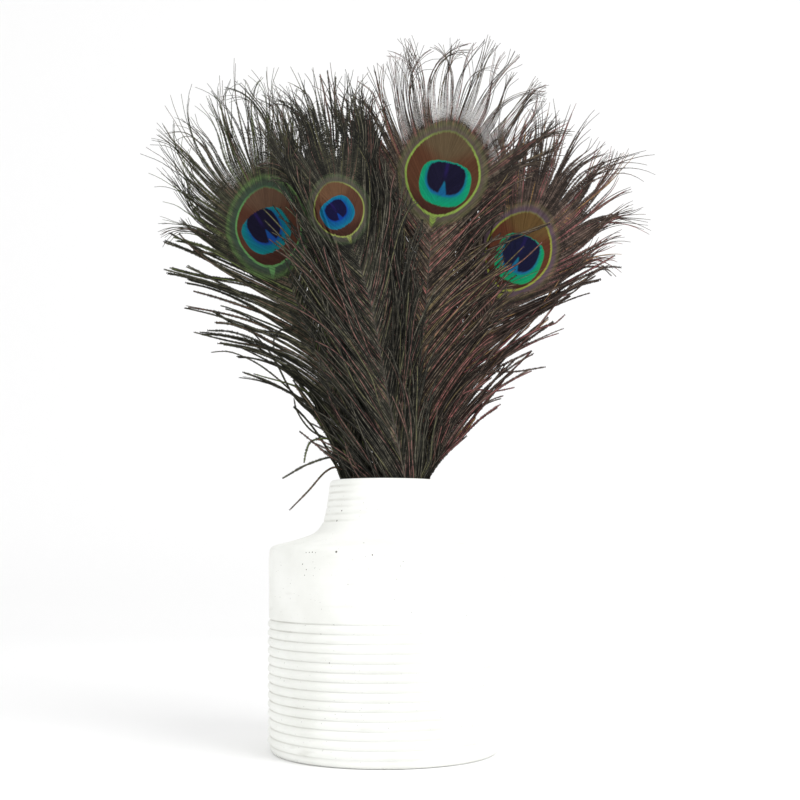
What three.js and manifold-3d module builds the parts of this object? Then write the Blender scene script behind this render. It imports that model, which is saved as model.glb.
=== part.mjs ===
// A small white stoneware vase holding four peacock train feathers.
// Millimetres, +Z up. The origin is the centre of the vase's flat foot, and the feathers face -Y.
// Each feather grew as one piece, so its quill, eye and locks of barbs are one solid.
import * as THREE from 'three'
import Module from 'manifold-3d'
import { mergeVertices } from 'three/addons/utils/BufferGeometryUtils.js'

const wasm = await Module()
wasm.setup()

// ---------------------------------------------------------------- solids from meshes

// A closed three.js geometry as a manifold-3d solid.
function solidOf(geometry) {
  const bare = new THREE.BufferGeometry()
  bare.setAttribute('position', geometry.getAttribute('position').clone())
  if (geometry.index) bare.setIndex(geometry.index.clone())
  const merged = mergeVertices(bare, 1e-4)
  const vertProperties = new Float32Array(merged.getAttribute('position').array)
  const corners = Array.from(merged.index.array)
  const triVerts = []
  for (let i = 0; i < corners.length; i += 3) {
    const [a, b, c] = corners.slice(i, i + 3)
    if (a !== b && b !== c && c !== a) triVerts.push(a, b, c)
  }
  return new wasm.Manifold(new wasm.Mesh({ numProp: 3, vertProperties, triVerts: new Uint32Array(triVerts) }))
}

// A manifold-3d solid as a three.js geometry.
function geometryOf(solid) {
  const mesh = solid.getMesh()
  const geometry = new THREE.BufferGeometry()
  const places = []
  for (let i = 0; i < mesh.numVert; i++) {
    for (let k = 0; k < 3; k++) places.push(mesh.vertProperties[i * mesh.numProp + k])
  }
  geometry.setAttribute('position', new THREE.Float32BufferAttribute(places, 3))
  geometry.setIndex(Array.from(mesh.triVerts))
  geometry.computeVertexNormals()
  return geometry
}

// ---------------------------------------------------------------- the vase

const VASE_HEIGHT = 134.5
const BODY_RADIUS = 58
const RIM_RADIUS = 27.5
const MOUTH_RADIUS = 24
const SHOULDER_HEIGHT = 101.5
const WALL = 4
const FLOOR = 6.5
const RIB_COUNT = 14
const RIB_PITCH = 4.4
const RIB_DEPTH = 0.9
const RIBS_FROM = 4.2
const VASE_SIDES = 24

function vase() {
  const outside = [[0, 0], [BODY_RADIUS - 4.5, 0], [BODY_RADIUS - 1.2, 1.4]]
  for (let i = 0; i < RIB_COUNT; i++) {
    const z = RIBS_FROM + i * RIB_PITCH
    outside.push([BODY_RADIUS - RIB_DEPTH, z])
    outside.push([BODY_RADIUS + 0.3, z + RIB_PITCH / 2])
  }
  outside.push([BODY_RADIUS - RIB_DEPTH, RIBS_FROM + RIB_COUNT * RIB_PITCH])
  outside.push([BODY_RADIUS - 0.2, RIBS_FROM + RIB_COUNT * RIB_PITCH + 1])
  outside.push([BODY_RADIUS - 0.5, SHOULDER_HEIGHT - 2])
  outside.push([BODY_RADIUS - 1.7, SHOULDER_HEIGHT])
  const neck = [
    [40, 106.2], [34.6, 108.6], [31.3, 113], [29.4, 120.5], [RIM_RADIUS + 0.4, 131],
    [RIM_RADIUS - 0.7, VASE_HEIGHT],
    [MOUTH_RADIUS + 0.7, VASE_HEIGHT], [MOUTH_RADIUS, VASE_HEIGHT - 0.8],
  ]
  const inside = [
    [MOUTH_RADIUS + 0.6, 122], [27.6, 110.6], [38, 102.2],
    [BODY_RADIUS - WALL - 3, SHOULDER_HEIGHT - 5], [BODY_RADIUS - WALL, SHOULDER_HEIGHT - 9],
    [BODY_RADIUS - WALL, FLOOR + 4], [BODY_RADIUS - WALL - 4, FLOOR], [0, FLOOR],
  ]
  const profile = [...outside, ...neck, ...inside].map(([r, z]) => new THREE.Vector2(r, z))
  const geometry = new THREE.LatheGeometry(profile, VASE_SIDES)
  geometry.rotateX(Math.PI / 2) // the lathe turns about its own Y, which becomes +Z
  return geometryOf(solidOf(geometry))
}

// ---------------------------------------------------------------- the feathers

// Each shaft runs from the quill's cut end on the vase's floor, through the mouth, to the eye's centre.
// eye: half width and half length of the coloured disc.
// left and right: the barbs at the rim, half way and at the eye, each as [start angle, end angle, length],
// with the angles in degrees from the shaft. crown: how far the barbs reach beyond the disc.
const FEATHERS = {
  feather_left: {
    shaft: [
      [19.6, 0, 7.8], [4, 2, 70], [-15, 4, 134.5], [-24.5, 5.2, 171], [-39.5, 6.4, 212],
      [-54, 7.4, 245.5], [-61, 8, 263.5],
    ],
    eye: [17.5, 20],
    left: [[16, 52, 76], [30, 52, 86], [50, 16, 74]],
    right: [[10, 16, 62], [24, 26, 74], [42, 18, 70]],
    crown: [48, 50],
    colour: 0x4a4a40,
  },
  feather_small: {
    shaft: [
      [33, -12, 7.8], [21.5, -12.4, 70], [10, -13, 134.5], [1.5, -16.5, 176], [-7.6, -21.5, 222.5],
      [-17.5, -25.5, 253], [-22, -28, 264.5],
    ],
    eye: [13, 14],
    left: [[12, 20, 64], [30, 34, 80], [44, 30, 72]],
    right: [[12, 16, 62], [26, 26, 72], [42, 18, 64]],
    crown: [46, 50],
    colour: 0x45463e,
  },
  feather_middle: {
    shaft: [
      [1, -6, 7.8], [7, -5, 70], [12.5, -4, 134.5], [16, -5.2, 178], [20.6, -7, 225.5],
      [24, -8.8, 262.5], [29.4, -10, 285],
    ],
    eye: [19, 20.6],
    left: [[12, 14, 66], [26, 24, 76], [44, 24, 70]],
    right: [[14, 20, 74], [32, 44, 84], [46, 54, 80]],
    crown: [46, 52],
    colour: 0x4f4640,
  },
  feather_right: {
    shaft: [
      [-12.5, 10, 7.8], [3, 11, 70], [18.5, 12.5, 134.5], [27, 13.6, 165.5], [41, 15.6, 201.5],
      [60.5, 18.2, 234.5], [68.6, 20, 254],
    ],
    eye: [17, 21.5],
    left: [[12, 14, 62], [24, 24, 70], [42, 16, 66]],
    right: [[20, 28, 78], [28, 34, 84], [44, 20, 72]],
    crown: [52, 54],
    colour: 0x51423e,
  },
}

const QUILL_RADIUS = 1.5
const SHAFT_TIP_RADIUS = 0.55
const SHAFT_SIDES = 5
const SHAFT_STEPS = 14
const LOCK_PITCH = 8
const LOCK_STEPS = 3
const LOCK_SIDES = 3
const LOCK_THICKNESS = 0.55
const WIDEST_LOCK = 2.6
const NARROWEST_LOCK = 0.5
const LOCK_FILL = 0.42 // a lock's half width, as a share of its distance to the next lock
const FIRST_LOCK = 6 // above the rim, along the shaft
const CROWN_LOCKS = 11
const CROWN_SPREAD = 80 // degrees each side of the tip
const CROWN_INSET = 2 // how far inside the disc's edge these locks begin
const EYE_SIDES = 14
const EYE_THICKNESS = 0.8
const CUPPING = 0.0008 // how much the vane falls back at its edges, per millimetre
const FACING = new THREE.Vector3(0, -1, 0)

const radians = (degrees) => (degrees * Math.PI) / 180

// The frame of a feather at a share of its shaft's length: along, across and out of the vane.
function frameAt(curve, share) {
  const at = curve.getPointAt(share)
  const along = curve.getTangentAt(share)
  const across = new THREE.Vector3().crossVectors(along, FACING).normalize()
  const out = new THREE.Vector3().crossVectors(across, along)
  return { at, along, across, out }
}

// A lock's centreline: it leaves at one angle from the shaft and turns smoothly to another.
function lockPath({ at, along, across, out }, side, start, end, length) {
  const path = [at.clone()]
  const here = at.clone()
  const parts = 4 // short straight parts in each step
  let reach = 0
  for (let i = 1; i <= LOCK_STEPS * parts; i++) {
    const share = (i - 0.5) / (LOCK_STEPS * parts)
    const angle = radians(start + (end - start) * share)
    const step = length / (LOCK_STEPS * parts)
    const sideways = Math.sin(angle) * step
    here.addScaledVector(along, Math.cos(angle) * step)
    here.addScaledVector(across, side * sideways)
    here.addScaledVector(out, -CUPPING * ((reach + sideways) ** 2 - reach ** 2))
    reach += sideways
    if (i % parts === 0) path.push(here.clone())
  }
  return path
}

// The distance from a point to the nearest point of a path.
function distanceTo(path, point) {
  const nearest = new THREE.Vector3()
  let best = Infinity
  for (let i = 1; i < path.length; i++) {
    new THREE.Line3(path[i - 1], path[i]).closestPointToPoint(point, true, nearest)
    best = Math.min(best, nearest.distanceTo(point))
  }
  return best
}

// A ridged, tapering strip along a path: a cone whose rings are set on the path's points.
function strip(path, out, halfWidths, thickness, sides) {
  const steps = path.length - 1
  const geometry = new THREE.ConeGeometry(1, 1, sides, steps)
  const place = geometry.getAttribute('position')
  for (let i = 0; i < place.count; i++) {
    const share = place.getY(i) + 0.5
    const ring = Math.round(share * steps)
    const before = path[Math.max(ring - 1, 0)]
    const after = path[Math.min(ring + 1, steps)]
    const along = new THREE.Vector3().subVectors(after, before).normalize()
    const across = new THREE.Vector3().crossVectors(along, out).normalize()
    const up = new THREE.Vector3().crossVectors(across, along)
    const shrink = Math.max(1 - share, 1e-9)
    const u = ring === steps ? 0 : place.getX(i) / shrink
    const v = ring === steps ? 0 : place.getZ(i) / shrink
    const spot = path[ring].clone()
    spot.addScaledVector(across, u * halfWidths[ring])
    spot.addScaledVector(up, v * thickness)
    place.setXYZ(i, spot.x, spot.y, spot.z)
  }
  return geometry
}

// The quill and shaft: a tapering tube from the cut end to the eye.
function shaft(curve) {
  const geometry = new THREE.CylinderGeometry(1, 1, 1, SHAFT_SIDES, SHAFT_STEPS)
  const place = geometry.getAttribute('position')
  for (let i = 0; i < place.count; i++) {
    const share = place.getY(i) + 0.5
    const { at, across, out } = frameAt(curve, share)
    const radius = QUILL_RADIUS + (SHAFT_TIP_RADIUS - QUILL_RADIUS) * share
    const spot = at.clone()
    spot.addScaledVector(across, place.getX(i) * radius)
    spot.addScaledVector(out, place.getZ(i) * radius)
    place.setXYZ(i, spot.x, spot.y, spot.z)
  }
  return geometry
}

// The eye: a thin oval lens, a little pointed where the shaft comes in.
function eyeDisc({ at, along, across, out }, [halfWidth, halfLength]) {
  const geometry = new THREE.SphereGeometry(1, EYE_SIDES, 2)
  geometry.rotateX(Math.PI / 2)
  const place = geometry.getAttribute('position')
  for (let i = 0; i < place.count; i++) {
    const [x, y, z] = [place.getX(i), place.getY(i), place.getZ(i)]
    const point = y < 0 ? 1 - 0.18 * y * y : 1
    const spot = at.clone()
    spot.addScaledVector(across, x * halfWidth * point)
    spot.addScaledVector(along, y * halfLength)
    spot.addScaledVector(out, z * EYE_THICKNESS)
    place.setXYZ(i, spot.x, spot.y, spot.z)
  }
  return geometry
}

// The three numbers of a side's barbs at a share of the way from the rim to the eye.
function barbsAt(stations, share) {
  const [low, middle, top] = stations
  const [from, to, part] = share < 0.5 ? [low, middle, share * 2] : [middle, top, share * 2 - 1]
  return from.map((value, i) => value + (to[i] - value) * part)
}

// The rows of lock centrelines: one up each side of the shaft, and one round the eye.
function lockRows(curve, spec) {
  const length = curve.getLength()
  const rimAt = shareAtHeight(curve, VASE_HEIGHT) * length
  const [halfWidth, halfLength] = spec.eye
  const eyeFoot = length - halfLength
  const rows = []
  for (const [side, stations] of [[-1, spec.left], [1, spec.right]]) {
    const row = []
    const count = Math.floor((eyeFoot - rimAt - FIRST_LOCK) / LOCK_PITCH) + 1
    for (let i = 0; i < count; i++) {
      const distance = rimAt + FIRST_LOCK + i * LOCK_PITCH
      const [start, end, reach] = barbsAt(stations, (distance - rimAt) / (eyeFoot - rimAt))
      row.push(lockPath(frameAt(curve, distance / length), side, start, end, reach))
    }
    rows.push(row)
  }
  const eye = frameAt(curve, 1)
  const crown = []
  for (let i = 0; i < CROWN_LOCKS; i++) {
    const turn = -CROWN_SPREAD + (2 * CROWN_SPREAD * i) / (CROWN_LOCKS - 1)
    const aside = Math.sin(radians(turn))
    const ahead = Math.cos(radians(turn))
    const foot = { ...eye, at: eye.at.clone() }
    foot.at.addScaledVector(eye.across, aside * (halfWidth - CROWN_INSET))
    foot.at.addScaledVector(eye.along, ahead * (halfLength - CROWN_INSET))
    const reach = i % 2 ? spec.crown[1] : spec.crown[0]
    crown.push(lockPath(foot, Math.sign(turn) || 1, Math.abs(turn) * 0.62, Math.abs(turn) * 0.34, reach))
  }
  rows.push(crown)
  return rows
}

// The share of a curve's length at which it first reaches a height.
function shareAtHeight(curve, height) {
  let [low, high] = [0, 1]
  for (let i = 0; i < 40; i++) {
    const middle = (low + high) / 2
    if (curve.getPointAt(middle).z < height) low = middle
    else high = middle
  }
  return low
}

function feather(spec) {
  const curve = new THREE.CatmullRomCurve3(spec.shaft.map((p) => new THREE.Vector3(...p)), false, 'centripetal')
  curve.arcLengthDivisions = 400
  const eye = frameAt(curve, 1)
  const parts = [shaft(curve), eyeDisc(eye, spec.eye)]
  for (const row of lockRows(curve, spec)) {
    row.forEach((path, i) => {
      const neighbours = [row[i - 1], row[i + 1]].filter(Boolean)
      const halfWidths = path.map((point, k) => {
        const gap = Math.min(...neighbours.map((other) => distanceTo(other, point)))
        const root = k === 0 ? 0.6 : 1
        return THREE.MathUtils.clamp(gap * LOCK_FILL * root, NARROWEST_LOCK, WIDEST_LOCK)
      })
      parts.push(strip(path, eye.out, halfWidths, LOCK_THICKNESS, LOCK_SIDES))
    })
  }
  return geometryOf(wasm.Manifold.union(parts.map(solidOf)))
}

// ---------------------------------------------------------------- the object

const bunch = new THREE.Group()

const stoneware = new THREE.MeshStandardMaterial({ color: 0xf2f1ee, roughness: 0.75, metalness: 0 })
const vaseMesh = new THREE.Mesh(vase(), stoneware)
vaseMesh.name = 'vase'
bunch.add(vaseMesh)

for (const [name, spec] of Object.entries(FEATHERS)) {
  const barb = new THREE.MeshStandardMaterial({ color: spec.colour, roughness: 0.6, metalness: 0.1 })
  const mesh = new THREE.Mesh(feather(spec), barb)
  mesh.name = name
  bunch.add(mesh)
}

export default bunch
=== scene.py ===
# Four peacock train feathers in a small ribbed stoneware vase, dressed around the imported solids.
# Sizes are in millimetres until MM makes them metres. +Z is up, and the feathers' faces look to -Y.
import math

import bpy
import numpy as np
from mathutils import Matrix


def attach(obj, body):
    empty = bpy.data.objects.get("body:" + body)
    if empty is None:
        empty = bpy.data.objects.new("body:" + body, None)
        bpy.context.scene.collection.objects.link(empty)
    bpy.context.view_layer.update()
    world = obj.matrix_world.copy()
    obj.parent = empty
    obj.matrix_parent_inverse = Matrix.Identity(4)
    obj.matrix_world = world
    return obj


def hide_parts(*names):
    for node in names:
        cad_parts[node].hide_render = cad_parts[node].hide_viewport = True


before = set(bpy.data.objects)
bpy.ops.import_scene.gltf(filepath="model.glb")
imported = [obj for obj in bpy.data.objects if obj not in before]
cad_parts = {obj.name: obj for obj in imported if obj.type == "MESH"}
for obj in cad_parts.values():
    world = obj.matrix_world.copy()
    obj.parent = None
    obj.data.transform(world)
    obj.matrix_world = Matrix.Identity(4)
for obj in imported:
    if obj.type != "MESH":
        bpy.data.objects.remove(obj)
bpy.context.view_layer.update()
MM = 0.001

# ---------------------------------------------------------------- the vase
# One piece of white stoneware, thrown on a wheel and fired without a glaze, so it is matte and a
# little gritty. The potter turned rounded ribs round its lower half, and left faint throwing rings
# on the neck. Iron specks show near the shoulder. Painted shade darkens the grooves between the
# ribs and the neck's rings, most on the vase's left.

RIM_HEIGHT = 134.5
BODY_RADIUS = 58.0
MOUTH_RADIUS = 24.0
FLOOR_HEIGHT = 6.5
RIB_COUNT = 14
RIB_PITCH = 4.4
RIB_DEPTH = 0.98
RIBS_FROM = 4.2
RIBS_TO = RIBS_FROM + RIB_COUNT * RIB_PITCH
RIB_ROUNDNESS = 2.1
RING_HEIGHTS = [114.2, 117.6, 121.2, 124.4, 128.1, 131.3]
RING_DEPTH = 0.55
RING_WIDTH = 0.5
# The waver of the potter's hand: its depth, its bulges round the vase, and its turn with height.
HAND_WAVERS = [(0.09, 3, 0.11), (0.05, 7, -0.37)]
TURNS_ROUND = 120


def smooth_line(points, per_span):
    """Points along the centripetal Catmull-Rom curve through the given ones."""
    points = np.asarray(points, float)
    padded = np.vstack([2 * points[0] - points[1], points, 2 * points[-1] - points[-2]])
    line = [points[:1]]
    for a, b, c, d in zip(padded, padded[1:], padded[2:], padded[3:]):
        gaps = [math.sqrt(np.linalg.norm(q - p)) for p, q in ((a, b), (b, c), (c, d))]
        t1 = gaps[0]
        t2 = t1 + gaps[1]
        t3 = t2 + gaps[2]
        t = np.linspace(t1, t2, per_span + 1)[1:, None]
        ab = ((t1 - t) * a + t * b) / t1
        bc = ((t2 - t) * b + (t - t1) * c) / (t2 - t1)
        cd = ((t3 - t) * c + (t - t2) * d) / (t3 - t2)
        abc = ((t2 - t) * ab + t * bc) / t2
        bcd = ((t3 - t) * bc + (t - t1) * cd) / (t3 - t1)
        line.append(((t2 - t) * abc + (t - t1) * bcd) / (t2 - t1))
    return np.vstack(line)


def vase_profile():
    """The outline from the middle of the foot, up the outside, over the rim and down inside."""
    foot = [[BODY_RADIUS - 4.5, 0], [BODY_RADIUS - 2.2, 0.35], [BODY_RADIUS - 1.3, 1.5]]
    wall = [[BODY_RADIUS - RIB_DEPTH * 0.6, RIBS_FROM - 0.9]]
    across_rib = np.linspace(0, 1, 8)[:-1]
    for i in range(RIB_COUNT):
        swell = 1 - np.abs(2 * across_rib - 1) ** RIB_ROUNDNESS
        radius = BODY_RADIUS - RIB_DEPTH + (RIB_DEPTH + 0.3) * swell
        wall += np.stack([radius, RIBS_FROM + (i + across_rib) * RIB_PITCH], 1).tolist()
    wall += [[BODY_RADIUS - RIB_DEPTH, RIBS_TO], [BODY_RADIUS - 0.35, RIBS_TO + 0.5]]
    shoulder = smooth_line([
        [BODY_RADIUS - 0.2, RIBS_TO + 1.1], [BODY_RADIUS - 0.3, 82], [BODY_RADIUS - 0.45, 98],
        [BODY_RADIUS - 0.9, 100.4], [BODY_RADIUS - 2.3, 101.9], [48, 104], [40.4, 106.2],
    ], 5)
    neck = [[40.4, 106.2], [34.9, 108.6], [31.4, 113], [29.4, 120.5], [28.0, 131]]
    neck = smooth_line(neck, 13)[1:]
    inside = smooth_line([
        [28.0, 131], [27.5, 133.4], [26.3, RIM_HEIGHT], [25.1, RIM_HEIGHT - 0.1],
        [MOUTH_RADIUS, RIM_HEIGHT - 1.3], [24.5, 122], [27.6, 110.6], [38, 102.2], [51, 96.5],
        [54, 92], [54, 50], [54, 12], [50, 6.9], [40, FLOOR_HEIGHT],
    ], 3)[1:]
    return np.vstack([[[0, 0]], foot, wall, shoulder, neck, inside, [[0, FLOOR_HEIGHT]]])


def lathe(name, profile):
    """A closed mesh turned round Z from an outline that starts and ends on the axis."""
    angle = np.linspace(0, 2 * math.pi, TURNS_ROUND, endpoint=False)
    radius = profile[1:-1, 0, None]
    height = profile[1:-1, 1, None]
    ring_cut = np.zeros_like(height)
    for z in RING_HEIGHTS:
        ring_cut = ring_cut + RING_DEPTH * np.exp(-(((height - z) / RING_WIDTH) ** 2))
    outside = (np.arange(len(height)) < np.argmax(height)).reshape(-1, 1)
    uneven = 0.65 + 0.35 * np.sin(angle * 2 + height * 0.9)
    hand = 0
    for depth, bulges, turn in HAND_WAVERS:
        hand = hand + depth * np.sin(angle * bulges + height * turn)
    radius = radius - outside * ring_cut * uneven + outside * hand * (height > 2)
    rings = np.stack([radius * np.cos(angle), radius * np.sin(angle), height + 0 * angle], -1)
    rows = len(rings)
    bottom, top = rows * TURNS_ROUND, rows * TURNS_ROUND + 1
    ends = [[0, 0, profile[0, 1]], [0, 0, profile[-1, 1]]]
    points = np.vstack([rings.reshape(-1, 3), ends]) * MM
    faces = []
    for k in range(TURNS_ROUND):
        after = (k + 1) % TURNS_ROUND
        faces.append((bottom, after, k))
        last = (rows - 1) * TURNS_ROUND
        faces.append((top, last + k, last + after))
        for row in range(rows - 1):
            low, high = row * TURNS_ROUND, (row + 1) * TURNS_ROUND
            faces.append((low + k, low + after, high + after, high + k))
    mesh = bpy.data.meshes.new(name)
    mesh.from_pydata(points.tolist(), [], faces)
    mesh.shade_smooth()
    piece = bpy.data.objects.new(name, mesh)
    bpy.context.collection.objects.link(piece)
    return piece


class Value:
    """A socket that varies, with the sums that are done on it."""

    def __init__(self, nodes, socket):
        self.nodes = nodes
        self.socket = socket

    def maths(self, operation, *others):
        given = dict(enumerate((self, *others)))
        return self.nodes.add("ShaderNodeMath", {"operation": operation}, given)

    def __add__(self, other):
        return self.maths("ADD", other)

    def __sub__(self, other):
        return self.maths("SUBTRACT", other)

    def __mul__(self, other):
        return self.maths("MULTIPLY", other)

    def __truediv__(self, other):
        return self.maths("DIVIDE", other)

    def __pow__(self, other):
        return self.maths("POWER", other)

    def __gt__(self, other):
        return self.maths("GREATER_THAN", other)

    def __abs__(self):
        return self.maths("ABSOLUTE")

    def __rsub__(self, other):
        return (self * -1) + other

    def other(self, name):
        """Another output of the node that this value comes from."""
        return Value(self.nodes, self.socket.node.outputs[name])

    __radd__ = __add__
    __rmul__ = __mul__


class Nodes:
    """A tree of nodes being wired up, of a finish or of Geometry Nodes."""

    def __init__(self, tree):
        self.tree = tree

    def add(self, kind, settings=None, values=None, out=0):
        node = self.tree.nodes.new(kind)
        for name, setting in (settings or {}).items():
            setattr(node, name, setting)
        for name, value in (values or {}).items():
            for one in value if isinstance(value, list) else [value]:
                if isinstance(one, Value):
                    self.tree.links.new(one.socket, node.inputs[name])
                else:
                    node.inputs[name].default_value = one
        return node if out is None else Value(self, node.outputs[out])

    def rise(self, value, low, high):
        """0 below low and 1 above high, with a smooth step between."""
        given = {"Value": value, "From Min": low, "From Max": high}
        return self.add("ShaderNodeMapRange", {"interpolation_type": "SMOOTHSTEP"}, given)

    def mix(self, factor, under, over):
        """Two colours, from under at 0 to over at 1."""
        factor_in, under_in, over_in, colour_out = 0, 6, 7, 2
        given = {factor_in: factor, under_in: under, over_in: over}
        return self.add("ShaderNodeMix", {"data_type": "RGBA"}, given, colour_out)

    def noise(self, place, scale, detail=2.0):
        given = {"Vector": place, "Scale": scale, "Detail": detail}
        return self.add("ShaderNodeTexNoise", {}, given)

    def stretched(self, place, scale):
        """A place with each axis scaled by its own amount, for a grain."""
        return self.add("ShaderNodeMapping", {}, {"Vector": place, "Scale": scale})


class Finish(Nodes):
    """A material. set gives the shader's own sockets their values or links."""

    def __init__(self, name):
        self.material = bpy.data.materials.new(name)
        self.material.use_nodes = True
        super().__init__(self.material.node_tree)
        self.shader = self.tree.nodes["Principled BSDF"]

    def set(self, **values):
        for name, value in values.items():
            socket = self.shader.inputs[name.replace("_", " ")]
            if isinstance(value, Value):
                self.tree.links.new(value.socket, socket)
            else:
                socket.default_value = value

    def place(self):
        """Where a point of the surface is, in metres, in the object's frame."""
        return self.add("ShaderNodeTexCoord", out="Object")


def ink(red, green, blue):
    """A screen colour of 0 to 255 as the linear colour that a shader takes."""
    screen = [value / 255 for value in (red, green, blue)]
    linear = [v / 12.92 if v <= 0.04045 else ((v + 0.055) / 1.055) ** 2.4 for v in screen]
    return (*linear, 1.0)


CLAY = ink(243, 244, 240)
CLAY_SHADE = ink(234, 235, 230)
DUST_AND_SHADE = ink(180, 178, 168)
IRON = ink(70, 62, 54)
# Each speck: its angle round the vase in degrees, its height, its radius.
SPECKS = [
    (-112.2, 99.3, 0.52), (-129, 98.9, 0.28), (-127, 99, 0.3), (-125.2, 99.1, 0.34),
    (-123.3, 98.9, 0.26), (-95, 97.9, 0.35), (-128.5, 91, 0.26), (-129.6, 88.4, 0.22),
    (-131, 93.5, 0.3), (-138.8, 114.2, 0.5), (-134, 119, 0.36), (-100.5, 103.4, 0.4),
    (60, 98, 0.45), (72, 84, 0.3), (140, 99.5, 0.4), (165, 92, 0.5), (20, 99.2, 0.35),
]


def stoneware(outline):
    """The vase's finish, with its specks set on the outside of the given outline."""
    outside = outline[:np.argmax(outline[:, 1]) + 1]
    finish = Finish("stoneware")
    place = finish.place()
    height = finish.add("ShaderNodeSeparateXYZ", {}, {"Vector": place}, "Z") * (1 / MM)
    to_left = finish.add("ShaderNodeSeparateXYZ", {}, {"Vector": place}, "X") * (-1 / MM)
    mottle = finish.noise(place, 38, 5)
    colour = finish.mix(finish.rise(mottle, 0.35, 0.75), CLAY, CLAY_SHADE)
    # Painted shade: the grooves between the ribs are darkened, most on the vase's left.
    groove = ((height - RIBS_FROM) / RIB_PITCH).maths("FRACT")
    groove = finish.rise(abs(groove - 0.5), 0.36, 0.5)
    ribbed = (1 - finish.rise(height, RIBS_TO + 0.4, RIBS_TO + 1.1)) * finish.rise(height, 3.0, 4.0)
    groove_shade = finish.rise(finish.noise(place, 55, 4), 0.42, 0.72) * 0.45 + 0.3
    groove_shade = groove_shade * finish.rise(to_left, 12, 54) + 0.01
    colour = finish.mix(groove * ribbed * groove_shade, colour, DUST_AND_SHADE)
    # Painted shade in the neck's throwing rings, on the vase's left, in patches.
    near_ring = height * 0
    for z in RING_HEIGHTS:
        near_ring = near_ring.maths("MAXIMUM", 1 - finish.rise(abs(height - z), 0.1, 0.9))
    ring_shade_patches = finish.rise(finish.noise(place, 70, 3), 0.35, 0.65) * 0.3 + 0.08
    colour = finish.mix(near_ring * finish.rise(to_left, 12, 25) * ring_shade_patches, colour, DUST_AND_SHADE)
    stain = finish.rise(finish.noise(finish.stretched(place, (1, 1, 5)), 42, 6), 0.6, 0.78)
    low = 1 - finish.rise(height, 1.0, 12.0)
    colour = finish.mix(stain * (low * 0.35 + 0.14), colour, DUST_AND_SHADE)
    # Iron specks: the few large ones by place, and a scatter of fine ones.
    speck = finish.rise(finish.noise(place, 900, 1), 0.752, 0.775) * 0.4
    for angle, z, radius in SPECKS:
        around = math.radians(angle)
        out_to = np.interp(z, outside[:, 1], outside[:, 0])
        spot = (out_to * math.cos(around) * MM, out_to * math.sin(around) * MM, z * MM)
        between = {0: place, 1: spot}
        apart = finish.add("ShaderNodeVectorMath", {"operation": "DISTANCE"}, between, "Value")
        near = 1 - finish.rise(apart, radius * MM * 0.5, radius * MM * 1.3)
        speck = speck.maths("MAXIMUM", near)
    colour = finish.mix(speck, colour, IRON)
    grit = finish.noise(place, 1900, 3)
    turned = finish.noise(finish.stretched(place, (18, 18, 620)), 1, 3)
    pores = finish.rise(finish.noise(place, 620, 2), 0.66, 0.74)
    relief = grit * 0.35 + turned * 0.75 - pores * 0.5 - speck * 0.8
    raised = {"Height": relief, "Strength": 0.5, "Distance": 0.00022}
    bump = finish.add("ShaderNodeBump", {}, raised, "Normal")
    finish.set(Base_Color=colour, Roughness=0.72 + finish.noise(place, 120, 3) * 0.2, Normal=bump)
    finish.set(Specular_IOR_Level=0.35)
    return finish.material


vase_outline = vase_profile()
vase = lathe("vase_body", vase_outline)
vase.data.materials.append(stoneware(vase_outline))
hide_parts("vase")
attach(vase, "root")

# ---------------------------------------------------------------- the quills
# Each feather's shaft is one horny quill, cut off square where it stands on the vase's floor. It is
# pale and round below, and it thins to a dark, grooved hair that ends just past the eye's middle.

# shaft: from the cut end to the eye's centre. eye: the half width and half length of its bright
# outer line, and how far that line and the pattern inside it are turned from the shaft,
# anticlockwise, in degrees.
FEATHERS = {
    "left": {
        "shaft": [
            [19.6, 0, 7.8], [4, 2, 70], [-15, 4, 134.5], [-24.5, 5.2, 171], [-39.5, 6.4, 212],
            [-52.4, 7.4, 245.5], [-59, 8, 263.5],
        ],
        "eye": (16.4, 20.2, -15, 12),
    },
    "small": {
        "shaft": [
            [33, -12, 7.8], [21.5, -12.4, 70], [10, -13, 134.5], [1.5, -16.5, 176],
            [-7.6, -21.5, 222.5], [-17.3, -25.5, 251], [-21.6, -28, 262.6],
        ],
        "eye": (11.9, 13.0, 0, 13),
    },
    "middle": {
        "shaft": [
            [1, -6, 7.8], [7, -5, 70], [12.5, -4, 134.5], [16, -5.2, 178], [20.6, -7, 225.5],
            [23.6, -8.8, 262.5], [28.5, -10, 285],
        ],
        "eye": (18.1, 20.6, 0, 0),
    },
    "right": {
        "shaft": [
            [-12.5, 10, 7.8], [3, 11, 70], [18.5, 12.5, 134.5], [27, 13.6, 165.5],
            [41, 15.6, 201.5], [60.5, 18.2, 234.5], [68.6, 20, 254],
        ],
        "eye": (16.6, 21.5, 0, 0),
    },
}
QUILL_RADIUS = 1.3
SHAFT_TIP_RADIUS = 0.22
QUILL_TAPER = 0.35  # the power of its taper: under 1, it thins most near its cut end
QUILL_STEPS = 90
QUILL_SIDES = 10
PALE_BELOW = 90
DARK_ABOVE = 175
SHAFT_BEYOND = 0.28  # how far the shaft runs past the eye's centre, of the eye's half length
FACING = np.array([0.0, -1.0, 0.0])


def unit(vectors):
    return vectors / np.linalg.norm(vectors, axis=-1, keepdims=True)


def gone_along(line):
    """How far along a line each of its points is."""
    return np.concatenate([[0], np.cumsum(np.linalg.norm(np.diff(line, axis=0), axis=1))])


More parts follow.
